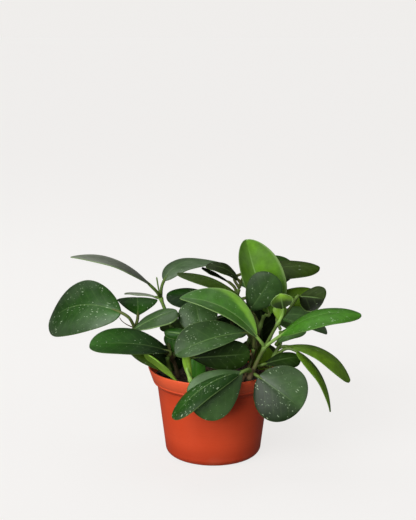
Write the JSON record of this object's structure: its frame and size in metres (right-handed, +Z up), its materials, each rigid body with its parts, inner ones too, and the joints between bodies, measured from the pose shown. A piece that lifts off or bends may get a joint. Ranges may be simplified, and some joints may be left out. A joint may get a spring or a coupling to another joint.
{
  "type": "potted hoya plant",
  "caption": "Bushy hoya with thick oval leaves on arching stems, growing in soil in a tapered plastic nursery pot with a deep rim band.",
  "frame": {"origin": "centre of the pot's flat underside", "axes": "+Z up along the pot's axis, -Y towards the front, +X to the right seen from the front"},
  "size_m": [0.3606, 0.2706, 0.2532],
  "materials": {
    "pot_plastic": "terracotta-coloured moulded plastic, satin",
    "potting_soil": "dark crumbly bark and peat mix",
    "leaf": "thick waxy leaf with pale flecks, satin gloss",
    "stem": "smooth yellow-green young stem, brown at the root"
  },
  "bodies": {
    "root": {"pot": "pot_plastic", "soil": "potting_soil", "stem_front": "leaf", "stem_centre": "leaf", "stem_middle": "leaf", "stem_left": "leaf", "stem_low_left": "leaf", "stem_back_left": "leaf", "stem_top": "leaf", "stem_back": "leaf", "stem_right": "leaf", "stem_rear_left": "leaf", "stem_rear_right": "leaf"}
  },
  "joints": []
}
